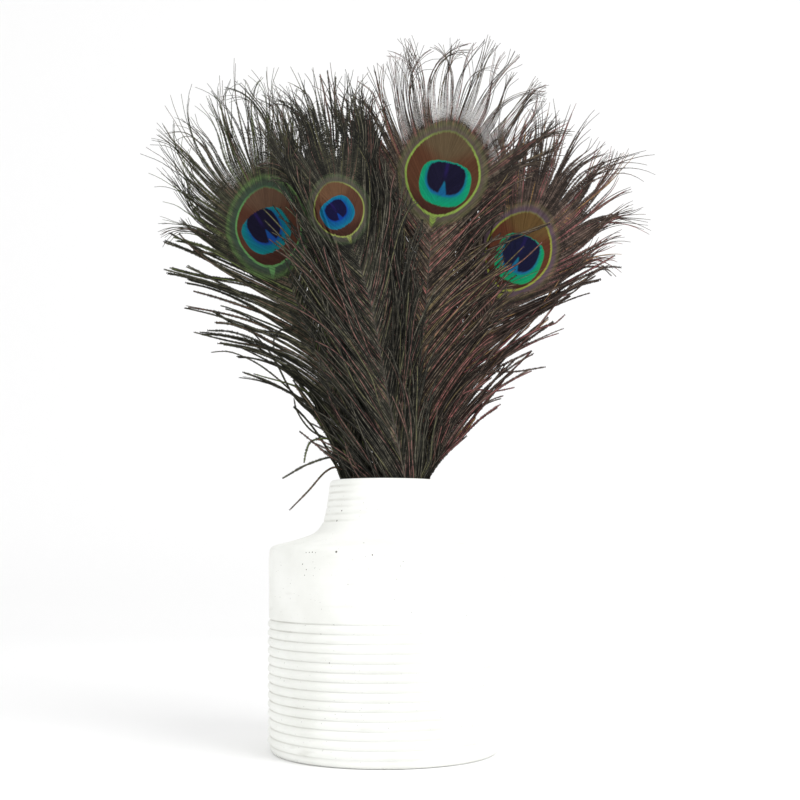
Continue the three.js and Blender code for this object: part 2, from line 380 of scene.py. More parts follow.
class Shaft:
    """A feather's midline, in millimetres, and the directions along, across and out of its vane."""

    def __init__(self, spec):
        line = smooth_line(spec["shaft"], 16)
        self.eye_length = spec["eye"][1]
        straight_on = unit(line[-1] - line[-2]) * self.eye_length * SHAFT_BEYOND
        self.line = np.vstack([line, line[-1] + straight_on])
        self.gone = gone_along(self.line)
        self.length = self.gone[-1]
        self.rim = np.interp(RIM_HEIGHT, self.line[:, 2], self.gone)
        self.centre = self.length - self.eye_length * SHAFT_BEYOND
        self.foot = self.centre - self.eye_length

    def at(self, distance):
        return np.stack([np.interp(distance, self.gone, self.line[:, k]) for k in range(3)], -1)

    def frames(self, distance):
        distance = np.clip(distance, 1, self.length - 1)
        along = unit(self.at(distance + 1) - self.at(distance - 1))
        across = unit(np.cross(along, FACING))
        return along, across, np.cross(across, along)


def guides(name, paths, **values):
    """A mesh of loose lines, one for each path, carrying named values at its points."""
    count, steps, _ = paths.shape
    starts = np.arange(count)[:, None] * steps + np.arange(steps - 1)
    edges = np.stack([starts, starts + 1], -1).reshape(-1, 2)
    mesh = bpy.data.meshes.new(name)
    mesh.from_pydata((paths.reshape(-1, 3) * MM).tolist(), edges.tolist(), [])
    for key, value in values.items():
        kind, field = ("FLOAT_VECTOR", "vector") if value.ndim == 3 else ("FLOAT", "value")
        attribute = mesh.attributes.new(key, kind, "POINT")
        attribute.data.foreach_set(field, value.astype(np.float32).ravel())
    piece = bpy.data.objects.new(name, mesh)
    bpy.context.collection.objects.link(piece)
    return piece


def grown(piece, tree, **inputs):
    """Runs a Geometry Nodes tree on a piece and keeps what it makes as the piece's plain mesh."""
    modifier = piece.modifiers.new("grow", "NODES")
    modifier.node_group = tree
    for socket in tree.interface.items_tree:
        if socket.in_out == "INPUT" and socket.name in inputs:
            modifier[socket.identifier] = inputs[socket.name]
    piece.update_tag()
    evaluated = piece.evaluated_get(bpy.context.evaluated_depsgraph_get())
    mesh = bpy.data.meshes.new_from_object(evaluated)
    piece.modifiers.remove(modifier)
    mesh.name = piece.name
    piece.data = mesh
    return piece


def new_tree(name, inputs):
    """An empty Geometry Nodes tree with named inputs, and the values that they give."""
    tree = bpy.data.node_groups.new(name, "GeometryNodeTree")
    for label, kind in inputs.items():
        tree.interface.new_socket(name=label, in_out="INPUT", socket_type="NodeSocket" + kind)
    tree.interface.new_socket(name="Result", in_out="OUTPUT", socket_type="NodeSocketGeometry")
    nodes = Nodes(tree)
    group = tree.nodes.new("NodeGroupInput")
    return nodes, {label: Value(nodes, group.outputs[label]) for label in inputs}


def named(nodes, name, kind="FLOAT"):
    return nodes.add("GeometryNodeInputNamedAttribute", {"data_type": kind}, {"Name": name})


def finished(nodes, mesh, finish):
    """Ends a tree with what it has made, in its finish."""
    whole = nodes.add("GeometryNodeRealizeInstances", {}, {"Geometry": mesh})
    done = nodes.add("GeometryNodeSetMaterial", {}, {"Geometry": whole, "Material": finish})
    nodes.add("NodeGroupOutput", {}, {"Result": done}, None)
    return nodes.tree


def quill_tree():
    """Sweeps a round section along each guide, as thick as the guide says."""
    nodes, given = new_tree("quill", {"Guides": "Geometry", "Finish": "Material", "Sides": "Int"})
    curve = nodes.add("GeometryNodeMeshToCurve", {}, {"Mesh": given["Guides"]})
    circle = {"Resolution": given["Sides"], "Radius": 1.0}
    section = nodes.add("GeometryNodeCurvePrimitiveCircle", {}, circle)
    swept = {
        "Curve": curve, "Profile Curve": section, "Scale": named(nodes, "half_width"),
        "Fill Caps": True,
    }
    mesh = nodes.add("GeometryNodeCurveToMesh", {}, swept)
    mesh = nodes.add("GeometryNodeSetShadeSmooth", {}, {"Geometry": mesh})
    return finished(nodes, mesh, given["Finish"])


def quill_horn():
    """The quill's finish: fine lengthwise grain, pale below and dark above."""
    finish = Finish("quill_horn")
    place = finish.place()
    height = finish.add("ShaderNodeSeparateXYZ", {}, {"Vector": place}, "Z") * (1 / MM)
    grain = finish.noise(finish.stretched(place, (900, 900, 40)), 1, 3)
    pale = finish.mix(grain, ink(128, 112, 92), ink(90, 76, 62))
    dark = finish.mix(grain, ink(62, 54, 44), ink(38, 34, 27))
    colour = finish.mix(finish.rise(height, PALE_BELOW, DARK_ABOVE), pale, dark)
    raised = {"Height": grain, "Strength": 0.3, "Distance": 0.0001}
    bump = finish.add("ShaderNodeBump", {}, raised, "Normal")
    finish.set(Base_Color=colour, Roughness=0.38 + grain * 0.15, Normal=bump)
    return finish.material


QUILL_TREE = quill_tree()
QUILL_HORN = quill_horn()
shafts = {name: Shaft(spec) for name, spec in FEATHERS.items()}
for name, shaft in shafts.items():
    distance = np.linspace(0, shaft.length, QUILL_STEPS)
    share = distance / shaft.length
    taper = QUILL_RADIUS + (SHAFT_TIP_RADIUS - QUILL_RADIUS) * share ** QUILL_TAPER
    quill = guides("quill_" + name, shaft.at(distance)[None], half_width=taper[None] * MM)
    grown(quill, QUILL_TREE, Finish=QUILL_HORN, Sides=QUILL_SIDES)
    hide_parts("feather_" + name)
    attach(quill, "root")
    "barbs_" + name

# ---------------------------------------------------------------- the barbs
# Barbs grow in one row up each side of the shaft. Below the eye they are loose herls, each a tan
# rib fringed with bronze and green barbules. Round the eye they lie edge to edge as an iridescent
# vane, and past its bright outer line they part again into hair-fine strands that stick in tufts.

# left and right: a side's barbs at several places up the shaft, each as (place, start angle, end
# angle, length). Place is 0 at the rim, 1 at the eye's foot and 2 at the shaft's tip. The angles
# are in degrees from the shaft.
BARB_ROWS = {
    "left": {
        "left": [
            (-0.5, 2, 10, 70), (0, 7, 20, 60), (0.08, 12, 32, 58), (0.18, 20, 60, 65),
            (0.5, 30, 60, 69), (0.75, 40, 44, 66), (1, 50, 26, 68), (1.5, 40, 20, 77),
            (1.8, 27, 13, 79), (2, 5, 3, 75),
        ],
        "right": [
            (-0.5, 8, 24, 88), (0, 16, 26, 76), (0.5, 28, 30, 78), (1, 46, 16, 76),
            (1.5, 38, 8, 78), (1.8, 25, 6, 78), (2, 5, 3, 74),
        ],
    },
    "small": {
        "left": [
            (-0.5, 8, 26, 88), (0, 18, 28, 76), (0.5, 28, 18, 68), (0.8, 32, 0, 56),
            (1, 40, -8, 64), (1.5, 38, -4, 64), (1.8, 26, -6, 62), (2, 4, -8, 58),
        ],
        "right": [
            (-0.5, 4, 15, 72), (0, 12, 20, 68), (0.5, 28, 16, 66), (0.8, 34, 4, 62), (1, 44, 8, 68),
            (1.5, 40, 18, 65), (1.8, 28, 14, 62), (2, 6, 9, 58),
        ],
    },
    "middle": {
        "left": [
            (-0.5, 6, 18, 80), (0, 16, 22, 70), (0.5, 30, 30, 78), (1, 48, 22, 76),
            (1.5, 40, 16, 70), (1.8, 27, 12, 66), (2, 5, 3, 60),
        ],
        "right": [
            (-0.5, 4, 12, 74), (0, 14, 28, 74), (0.3, 26, 48, 70), (0.5, 30, 52, 58),
            (0.65, 35, 48, 51), (0.85, 42, 48, 54), (1, 48, 46, 80), (1.5, 40, 18, 70),
            (1.8, 27, 9, 66), (2, 5, 3, 60),
        ],
    },
    "right": {
        "left": [
            (-0.5, 6, 20, 80), (0, 14, 20, 70), (0.5, 26, 30, 74), (1, 46, 20, 76),
            (1.5, 40, 12, 77), (1.8, 27, 6, 76), (2, 5, 2, 71),
        ],
        "right": [
            (-0.5, 4, 12, 72), (0, 17, 32, 77), (0.3, 23, 35, 75), (0.5, 28, 33, 73),
            (0.75, 38, 30, 60), (1, 46, 28, 71), (1.5, 40, 20, 79), (1.8, 27, 12, 80),
            (2, 5, 3, 73),
        ],
    },
}
# Barbs that don't lie in their rows: crushed at the rim as the bunch was pushed into the vase,
# pulled out at its sides, fallen across a neighbour's eye, or upright in the small feather's crown.
# Each is a line of (x, z) points, outwards from its shaft.
STRAYS = {
    "left": [
        [(-24.5, 146.5), (-38.5, 143), (-51, 136)],
        [(-24.5, 141.5), (-29.5, 139.5), (-38.5, 129.5), (-47.5, 120.2)],
        [(-26, 155.5), (-37, 154.5), (-39.5, 149.5), (-40.5, 144)],
        [(-24.7, 160.1), (-44.3, 175.4), (-56.9, 197.8), (-68, 211.1)],
        [(-45.6, 211.7), (-51.4, 211.1), (-55.4, 207.6), (-56.1, 200.6)],
        [(-26.2, 154.5), (-37.3, 160.1), (-44.3, 169.9), (-45.6, 175.4)],
        [(-37.5, 170), (-50, 182.5), (-65, 194), (-79, 199.5), (-87, 199)],
        [(-37.5, 182.5), (-47.5, 192.5), (-61.5, 203.5), (-77.5, 209.5), (-88.5, 210)],
    ],
    "small": [
        [(-37.2, 237.2), (-47.7, 248.6), (-57.2, 258.2)],
        [(-38.2, 241), (-45.8, 250.5), (-53.4, 259.1), (-58.2, 263.9)],
        [(-36.3, 232.5), (-46.8, 242.9), (-55.3, 249.6)],
        [(-38.7, 247.7), (-44.9, 257.2), (-49.6, 263.9)],
        [(-39.1, 254.3), (-44.9, 265.8), (-50.1, 273.4), (-54.4, 279.1)],
        [(-37.7, 251.5), (-42, 262.9), (-45.8, 272.4), (-51.5, 282)],
        [(-24.5, 291.9), (-25.8, 302.7), (-27.9, 314.1), (-30.4, 325.4)],
        [(-23.5, 291.9), (-24.5, 302.7), (-25.5, 315), (-26.9, 327.3)],
        [(-22.5, 291.9), (-23, 302.7), (-23.5, 314.1), (-23, 324.4)],
    ],
    "middle": [
        [(31.3, 240.4), (54.4, 249.2), (80.7, 260.1)],
        [(52.2, 233.8), (66.4, 241.5), (77.4, 251.4)],
        [(59.8, 230.5), (70.7, 235.5), (79.6, 239.3)],
        [(38, 245.9), (54.4, 252.5), (75.1, 257.5)],
        [(50.9, 251.5), (66.4, 255.8), (81.8, 261.3)],
        [(40, 229), (56, 238), (68, 249)],
    ],
    "right": [
        [(23.2, 139), (24.4, 143), (27.5, 147.8)],
        [(50.2, 190), (66.7, 190.8), (81.1, 193)],
        [(43.6, 181.3), (56.1, 180.8), (65.4, 182.5)],
        [(79.1, 213), (86, 215), (91.2, 219.4)],
        [(99.2, 235.9), (110.5, 243.6), (114.1, 244.4), (119.8, 244.1)],
        [(98, 233), (106, 242), (111, 243.5), (115, 240)],
    ],
}
# How barbs stray: how unlike its neighbours each one is, how far the tufts bend, and the weakest
# and strongest that a tuft's barbs are drawn together.
HABITS = {
    "combed": (0.4, 0.8, 0.3, 0.8),
    "stuck": (0.3, 0.9, 0.8, 0.97),
    "untidy": (1.0, 1.0, 0.1, 0.6),
    "tufted": (0.8, 3.0, 0.6, 0.97),
    "ruffled": (1.0, 2.6, 0.3, 0.9),
    "loose": (0.9, 2.1, 0.15, 0.7),
    "bushy": (1.2, 2.4, 0.05, 0.65),
}
# Each feather's herls on its left and right: their habit, and their gaps as a share of GAPS. A
# share over 1 holds low down, and is back at 1 by place 0.8.
HERLS = {
    "left": (("stuck", 1.6), ("untidy", 0.66)), "small": (("untidy", 0.8), ("untidy", 0.8)),
    "middle": (("untidy", 0.76), ("combed", 1.0)), "right": (("untidy", 0.6), ("stuck", 1.2)),
}
# The habit of the strands past each feather's eye, on its left and right.
CROWNS = {
    "left": ("ruffled", "ruffled"), "small": ("bushy", "bushy"), "middle": ("ruffled", "tufted"),
    "right": ("loose", "loose"),
}
# The gap between barbs on the shaft: (place, gap).
GAPS = [(-0.5, 1.7), (0, 1.15), (0.5, 1.0), (0.82, 0.85), (0.9, 0.5), (1, 0.34), (2, 0.26)]
LOWEST_PLACE = -0.5  # inside the vase's neck
VANE_FROM = 0.88  # the place from which the barbs run through the eye
# A feather's two pieces: the places between which its barbs grow, and its own part of the seed.
PARTS = {"herls": (LOWEST_PLACE, VANE_FROM, 5), "vane": (VANE_FROM, 2.0, 4)}
TUFT_SIZES = {"herls": (2, 3), "vane": (6, 14), "tip": (3, 5)}  # fewest and most barbs in a tuft
TIP_FAN = np.linspace(-6, 6, 11)  # the angles of the barbs at the shaft's very tip
BARB_STEPS = 22
CUPPING = 0.0008  # a barb falls back by this times the square of its distance from the shaft
EYE_LIFT = 0.34  # how far the eye's barbs stand out from the shaft
PAST_EYE = 1.3  # where barbs come loose, with 1 on the eye's outer line
CLOSED_TO = 1.12  # where they stop lying edge to edge, in the same way
SPREAD_OF_MOUTH = 21.8  # how far from the vase's axis barbs may be in its neck
NECK_WIDENS_BELOW = 115
RIB_HALF_WIDTH = 0.5
TIP_HALF_WIDTH = 0.1
BARBULE_LENGTH = 0.98
SHORTEST_BARBULE = 0.05
BARBULE_PITCH = 0.54
VANE_PITCH = 1.3  # the barbules' pitch in the vane, as a share of the herls'
BARBULE_BASE = 0.74  # the width of a barbule's root, of its length
BARBULE_LEAN = 0.9  # in radians, from the barb
BARBULE_VARIATION = 0.3
EYE_POWER = 1.78  # 2 makes the eye's outer line an ellipse, and less makes it more pointed


def smooth_step(value, low, high):
    t = np.clip((value - low) / (high - low), 0, 1)
    return t * t * (3 - 2 * t)


def places_up(first, last, shaft, crowding):
    """Places of one side's barbs, spaced by GAPS, with their distances up the shaft."""
    ends = [LOWEST_PLACE, 0, 1, 2]
    lowest = shaft.rim + LOWEST_PLACE * (shaft.foot - shaft.rim)
    at_ends = [lowest, shaft.rim, shaft.foot, shaft.length]
    place = [first]
    distance = [np.interp(first, ends, at_ends)]
    gap_places, gaps = np.array(GAPS).T
    while place[-1] < last and distance[-1] < shaft.length - 0.05:
        gap = np.interp(place[-1], gap_places, gaps)
        gap *= np.interp(place[-1], [0.4, 0.8], [crowding, min(crowding, 1)])
        distance.append(min(distance[-1] + gap, shaft.length))
        place.append(np.interp(distance[-1], at_ends, ends))
    return np.array(place), np.array(distance)


class Eye:
    """The plane of a feather's eye: its centre, its sizes, and the directions of its outer line and
    of the pattern inside it."""

    def __init__(self, shaft, spec):
        self.width, self.length, line_turn, pattern_turn = spec["eye"]
        self.centre = shaft.at(np.array([shaft.centre]))[0]
        along, across, _ = (v[0] for v in shaft.frames(np.array([shaft.centre])))
        self.along, self.across = self.turned(along, across, line_turn)
        self.pattern_along, self.pattern_across = self.turned(along, across, pattern_turn)

    def turned(self, along, across, degrees):
        c, s = math.cos(math.radians(degrees)), math.sin(math.radians(degrees))
        return along * c - across * s, across * c + along * s

    def ring(self, points):
        """0 at the eye's centre and 1 on its outer line."""
        x = np.abs((points - self.centre) @ self.across / self.width)
        y = np.abs((points - self.centre) @ self.along / self.length)
        return (x ** EYE_POWER + y ** EYE_POWER) ** (1 / EYE_POWER)


def barb_angles(rows, place):
    """Start angle, end angle and length of the barbs at some places, as columns."""
    rows = np.array(rows, float)
    return [np.interp(place, rows[:, 0], rows[:, k])[:, None] for k in (1, 2, 3)]


def barb_paths(shaft, side, angles, place, distance, tuft, chance, habit, eye=None):
    """One side's barbs as lines. Those with the same tuft number draw together at their tips. With
    an eye, they lie still until they have left it."""
    along, across, out = (v[:, None] for v in shaft.frames(distance))
    start, end, length = angles
    first = np.flatnonzero(np.diff(tuft, prepend=-1))
    sizes = np.diff(np.append(first, len(tuft)))
    lift = EYE_LIFT * smooth_step(place, 0.85, 1.0)
    root = shaft.at(distance)[:, None] + out * lift[:, None, None]

    def by_tuft(spread):
        return np.repeat(chance.normal(0, spread, len(first)), sizes)[:, None]

    def by_barb(spread):
        return chance.normal(0, spread, len(tuft))[:, None]

    def grow(degrees, outwards, stretch):
        angle = np.radians(degrees)
        step = length / BARB_STEPS * stretch
        sideways = np.cumsum(np.sin(angle) * step, axis=1)
        forwards = np.cumsum(np.cos(angle) * step, axis=1)
        outwards = outwards - CUPPING * sideways ** 2
        grown_by = side * across * sideways[..., None] + along * forwards[..., None]
        grown_by = grown_by + out * outwards[..., None]
        return np.concatenate([root, root + grown_by], axis=1)

    t = (np.arange(BARB_STEPS) + 0.5) / BARB_STEPS
    ends = np.linspace(0, 1, BARB_STEPS + 1)
    angle = start + (end - start) * t
    mess, bend, weak, strong = HABITS[habit]
    if eye is None:
        leaves = np.full((len(tuft), 1), 0.04)
        angle = angle + by_barb(3.5 * mess)
    else:
        inside = eye.ring(grow(angle, 0, 1)) < PAST_EYE
        last = BARB_STEPS - np.argmax(inside[:, ::-1], axis=1)
        leaves = np.where(inside.any(axis=1), ends[last], 0.3)[:, None]
    loose = smooth_step(t, leaves, leaves + 0.45)
    sway = by_tuft(5.5 * bend) * np.sin(2 * math.pi * (t * 0.9 + by_tuft(1.0)))
    wave = by_barb(4.0 * mess) * np.sin(2 * math.pi * (t * 2.2 + by_barb(1.0)))
    curl = (by_tuft(13 * bend) + by_barb(14 * mess * bend)) * t ** 3.5
    angle = angle + loose * (by_tuft(2.5) + by_barb(3.0 * mess) + sway + wave + curl)
    lean = (by_tuft(2.8) + by_barb(0.8)) * np.cumsum(loose * t, axis=1) / BARB_STEPS * 4
    paths = grow(angle, lean, 1 + (by_tuft(0.09) + by_barb(0.1)) * loose)
    middle = np.add.reduceat(paths, first, axis=0) / sizes[:, None, None]
    grip = np.repeat(chance.uniform(weak, strong, len(first)), sizes)[:, None]
    parted = 1 - 0.3 * mess * smooth_step(ends, 0.85, 1.0)
    hold = smooth_step(ends, leaves + 0.05, 0.9) * parted * grip
    paths += (np.repeat(middle, sizes, axis=0) - paths) * hold[..., None]
    # They pass through the vase's neck without touching it, and spread again above and below it.
    away = np.hypot(paths[..., 0], paths[..., 1])
    over = np.maximum(paths[..., 2] - RIM_HEIGHT - 1, 0)
    under = np.maximum(NECK_WIDENS_BELOW - paths[..., 2], 0)
    room = SPREAD_OF_MOUTH + over * 0.6 + over ** 2 * 0.014 + under * 1.2
    paths[..., :2] *= np.minimum(1, room / np.maximum(away, 1e-6))[..., None]
    return paths


def tufts(count, smallest, largest, chance):
    """A tuft number for each of count barbs in a row."""
    sizes = chance.integers(smallest, largest + 1, count)
    return np.repeat(np.arange(count), sizes)[:count]


def stray_paths(lines, shaft):
    """Stray barbs as lines from the shaft through the given points."""
    paths = []
    for points in lines:
        x, z = points[0]
        root_z = z - 0.8 * abs(x - np.interp(z, shaft.line[:, 2], shaft.line[:, 0]))
        root_x, root_y = (np.interp(root_z, shaft.line[:, 2], shaft.line[:, k]) for k in (0, 1))
        line = smooth_line([(root_x, root_z), *points], 12)
        gone = gone_along(line)
        even = np.linspace(0, gone[-1], BARB_STEPS + 1)
        x, z = (np.interp(even, gone, line[:, k]) for k in (0, 1))
        paths.append(np.stack([x, root_y - np.linspace(0, 3, len(x)), z], -1))
    return np.array(paths)


def rib_values(paths, eye, in_vane, strand, fullness, opens, chance):
    """Half width, facing direction and barbule length at each point of each barb."""
    count, steps, _ = paths.shape
    t = np.linspace(0, 1, steps)[None]
    forward = unit(np.gradient(paths, axis=1))
    out = np.cross(eye.across, eye.along)
    tilt = np.radians(chance.normal(0, 10 if in_vane else 24, (count, 1, 1)))
    flat = unit(out - forward * (forward @ out)[..., None])
    facing = flat * np.cos(tilt) + np.cross(forward, flat) * np.sin(tilt)
    ring = eye.ring(paths)
    if in_vane:
        apart = paths[1:] - paths[:-1]
        apart -= forward[1:] * (apart * forward[1:]).sum(-1)[..., None]
        apart = np.linalg.norm(apart, axis=-1)
        apart = np.vstack([apart[:1], (apart[1:] + apart[:-1]) / 2, apart[-1:]])
        # The lowest barbs of the vane are as full as the herls below them.
        rooted = (paths[:, :1] - eye.centre) @ eye.along / eye.length
        low = 1 - smooth_step(rooted, -0.95, -0.6)
        strand = np.maximum(strand, 0.36 * low)
        fullness = np.maximum(fullness, 0.95 * low)
        closed = 1 - smooth_step(ring, CLOSED_TO, opens)
        hair = strand + (TIP_HALF_WIDTH - strand) * t ** 2
        half_width = closed * np.clip(apart * 0.66, 0.1, 0.7) + (1 - closed) * hair
        thinned = fullness - (fullness - 0.22) * smooth_step(t, 0.55, 1.0)
        barbule = smooth_step(ring, 1.04, 1.3) * thinned
    else:
        half_width = RIB_HALF_WIDTH * (1 - 0.4 * t ** 2) + 0 * ring
        barbule = BARBULE_LENGTH * smooth_step(t, 0, 0.05) * (1 - 0.3 * t ** 6)
        barbule = barbule * (0.8 + 0.4 * chance.random((count, 1))) + 0 * ring
    return half_width, facing, barbule


def barb_tree():
    """Sweeps a ridged ribbon along each guide, and sets a pair of barbules at every step of it."""
    nodes, given = new_tree("barbs", {
        "Guides": "Geometry", "Finish": "Material", "Barbule Pitch": "Float",
        "Barbule Base": "Float", "Barbule Lean": "Float", "Barbule Variation": "Float",
        "Seed": "Int",
    })
    curve = nodes.add("GeometryNodeMeshToCurve", {}, {"Mesh": given["Guides"]})
    facing = named(nodes, "facing", "FLOAT_VECTOR")
    faced = {"Curve": curve, "Normal": facing}
    curve = nodes.add("GeometryNodeSetCurveNormal", {"mode": "FREE"}, faced)

    # The ribbon's section: two faces that rise to a ridge.
    across = {"Start": (0, -1, 0), "End": (0, 1, 0)}
    section = nodes.add("GeometryNodeCurvePrimitiveLine", {}, across)
    section = nodes.add("GeometryNodeResampleCurve", {}, {"Curve": section, "Count": 3})
    position = nodes.add("GeometryNodeInputPosition")
    section_y = nodes.add("ShaderNodeSeparateXYZ", {}, {"Vector": position}, "Y")
    ridge = nodes.add("ShaderNodeCombineXYZ", {}, {"X": (1 - abs(section_y)) * 0.4})
    section = nodes.add("GeometryNodeSetPosition", {}, {"Geometry": section, "Offset": ridge})
    edge = {"Name": "edge", "Value": section_y * 0.5}
    section = nodes.add("GeometryNodeStoreNamedAttribute", {}, {"Geometry": section, **edge})
    swept = {"Curve": curve, "Profile Curve": section, "Scale": named(nodes, "half_width")}
    ribbon = nodes.add("GeometryNodeCurveToMesh", {}, swept)

    # A pair of barbules: one triangle to each side, leaning towards the barb's tip.
    pair = []
    for side in (-1, 1):
        barbule = nodes.add("GeometryNodeMeshCircle", {"fill_type": "NGON"}, {"Vertices": 3})
        index = nodes.add("GeometryNodeInputIndex")
        tip = index > 1.5
        root = (index > 0.5) - tip if side < 0 else 1 - (index > 0.5)
        lean = given["Barbule Lean"]
        corner = nodes.add("ShaderNodeCombineXYZ", {}, {
            "X": tip * 0.16,
            "Y": tip * lean.maths("SINE") * side,
            "Z": tip * lean.maths("COSINE") + root * given["Barbule Base"],
        })
        placed = {"Geometry": barbule, "Position": corner}
        barbule = nodes.add("GeometryNodeSetPosition", {}, placed)
        for name, value in (("edge", (tip * 0.45 + 0.55) * side), ("rise", tip + root * 0.4)):
            kept = {"Geometry": barbule, "Name": name, "Value": value}
            barbule = nodes.add("GeometryNodeStoreNamedAttribute", {}, kept)
        pair.append(barbule)
    pair = nodes.add("GeometryNodeJoinGeometry", {}, {"Geometry": pair})
    paced = {"Curve": curve, "Length": given["Barbule Pitch"]}
    stops = nodes.add("GeometryNodeCurveToPoints", {"mode": "LENGTH"}, paced)
    spread = given["Barbule Variation"]
    low_in, high_in, seed_in, number_out = 2, 3, 8, 1
    ranged = {low_in: 1 - spread, high_in: 1 + spread, seed_in: given["Seed"]}
    chance = nodes.add("FunctionNodeRandomValue", {}, ranged, number_out)
    long = named(nodes, "barbule")
    fringe = nodes.add("GeometryNodeInstanceOnPoints", {}, {
        "Points": stops, "Selection": long > SHORTEST_BARBULE * MM, "Instance": pair,
        "Rotation": stops.other("Rotation"), "Scale": long * chance,
    })
    fringe = nodes.add("GeometryNodeRealizeInstances", {}, {"Geometry": fringe})
    both = nodes.add("GeometryNodeJoinGeometry", {}, {"Geometry": [ribbon, fringe]})
    return finished(nodes, both, given["Finish"])


def lay_out(piece, count):
    """Gives each barb its own column of a UV map, from its root at the bottom to its tip."""
    mesh = piece.data
    values = {}
    for name in ("barb", "share", "edge", "rise"):
        values[name] = np.zeros(len(mesh.vertices), np.float32)
        if name in mesh.attributes:
            mesh.attributes[name].data.foreach_get("value", values[name])
    u = (values["barb"] + 0.5 + 0.46 * values["edge"]) / count
    v = 0.005 + 0.98 * values["share"] + 0.008 * values["rise"]
    corner = np.zeros(len(mesh.loops), np.int32)
    mesh.loops.foreach_get("vertex_index", corner)
    uv = mesh.uv_layers.new(name="OFBake")
    uv.data.foreach_set("uv", np.stack([u, v], -1)[corner].astype(np.float32).ravel())


# Colours of each feather's eye and barbs, from the middle outwards. The kidney is the turquoise
# patch round the pupil. Their sizes are a half width and how far they go up and down, as shares of
# the eye's half sizes, and shift is how far both lie from the eye's centre. halo_at and opens are
# distances from the centre, with 1 on the eye's outer line: the halo's, and the one where the last
# barbs have parted. strand is a parted barb's half width, and fullness its barbules' length just
# outside the eye. rib, rib_warm and rib_bright are the ribs' colours, which differ by barb: partly
# the rib's own tan and partly a painted highlight. The glint colour is a painted glint on the
# barbules.
PLUMAGE = {
    "left": {
        "pupil": ink(20, 17, 42), "pupil_rim": ink(24, 66, 160), "kidney": ink(12, 104, 138),
        "kidney_edge": ink(16, 124, 128), "top": ink(98, 74, 58), "sides": ink(88, 54, 40),
        "low": ink(66, 38, 30), "line": ink(102, 154, 92), "band": ink(62, 80, 66),
        "halo": ink(104, 140, 80), "halo_weight": 0.6, "halo_at": 1.27, "herl": ink(37, 37, 31),
        "painted_glint": ink(62, 65, 50), "rib": ink(150, 146, 120), "rib_warm": ink(160, 126, 110),
        "rib_bright": ink(132, 146, 84), "shift": (-0.14, 0.15), "kidney_size": (0.74, 0.53, 0.54),
        "pupil_size": (0.47, 0.42, 0.42), "strand": 0.22, "fullness": 0.8, "opens": 1.7,
    },
    "small": {
        "pupil": ink(18, 17, 58), "pupil_rim": ink(14, 50, 150), "kidney": ink(12, 92, 150),
        "kidney_edge": ink(18, 120, 150), "top": ink(110, 80, 58), "sides": ink(92, 60, 46),
        "low": ink(66, 40, 32), "line": ink(150, 160, 88), "band": ink(90, 88, 78),
        "halo": ink(90, 110, 74), "halo_weight": 0.45, "halo_at": 1.24, "herl": ink(35, 35, 32),
        "painted_glint": ink(60, 60, 50), "rib": ink(148, 142, 124), "rib_warm": ink(160, 114, 108),
        "rib_bright": ink(134, 130, 94), "shift": (-0.15, 0.1), "kidney_size": (0.68, 0.6, 0.5),
        "pupil_size": (0.42, 0.35, 0.33), "strand": 0.32, "fullness": 1.2, "opens": 1.8,
    },
    "middle": {
        "pupil": ink(22, 19, 46), "pupil_rim": ink(24, 92, 160), "kidney": ink(10, 142, 118),
        "kidney_edge": ink(14, 158, 112), "top": ink(98, 82, 60), "sides": ink(92, 58, 40),
        "low": ink(70, 40, 32), "line": ink(144, 170, 80), "band": ink(98, 88, 78),
        "halo": ink(104, 112, 66), "halo_weight": 0.5, "halo_at": 1.19, "herl": ink(40, 36, 33),
        "painted_glint": ink(70, 61, 53), "rib": ink(176, 156, 136), "rib_warm": ink(196, 126, 120),
        "rib_bright": ink(156, 138, 96), "shift": (0.08, 0.0), "kidney_size": (0.70, 0.53, 0.54),
        "pupil_size": (0.52, 0.36, 0.40), "strand": 0.145, "fullness": 0.42, "opens": 1.45,
    },
    "right": {
        "pupil": ink(20, 22, 54), "pupil_rim": ink(28, 100, 160), "kidney": ink(14, 146, 112),
        "kidney_edge": ink(20, 156, 100), "top": ink(104, 80, 46), "sides": ink(96, 54, 36),
        "low": ink(70, 40, 30), "line": ink(152, 158, 70), "band": ink(98, 80, 92),
        "halo": ink(116, 112, 66), "halo_weight": 0.45, "halo_at": 1.22, "herl": ink(52, 45, 41),
        "painted_glint": ink(94, 78, 70), "rib": ink(172, 146, 132), "rib_warm": ink(200, 118, 122),
        "rib_bright": ink(214, 164, 92), "shift": (0.06, 0.04), "kidney_size": (0.73, 0.6, 0.6),
        "pupil_size": (0.55, 0.45, 0.44), "strand": 0.46, "fullness": 1.15, "opens": 1.8,
    },
}


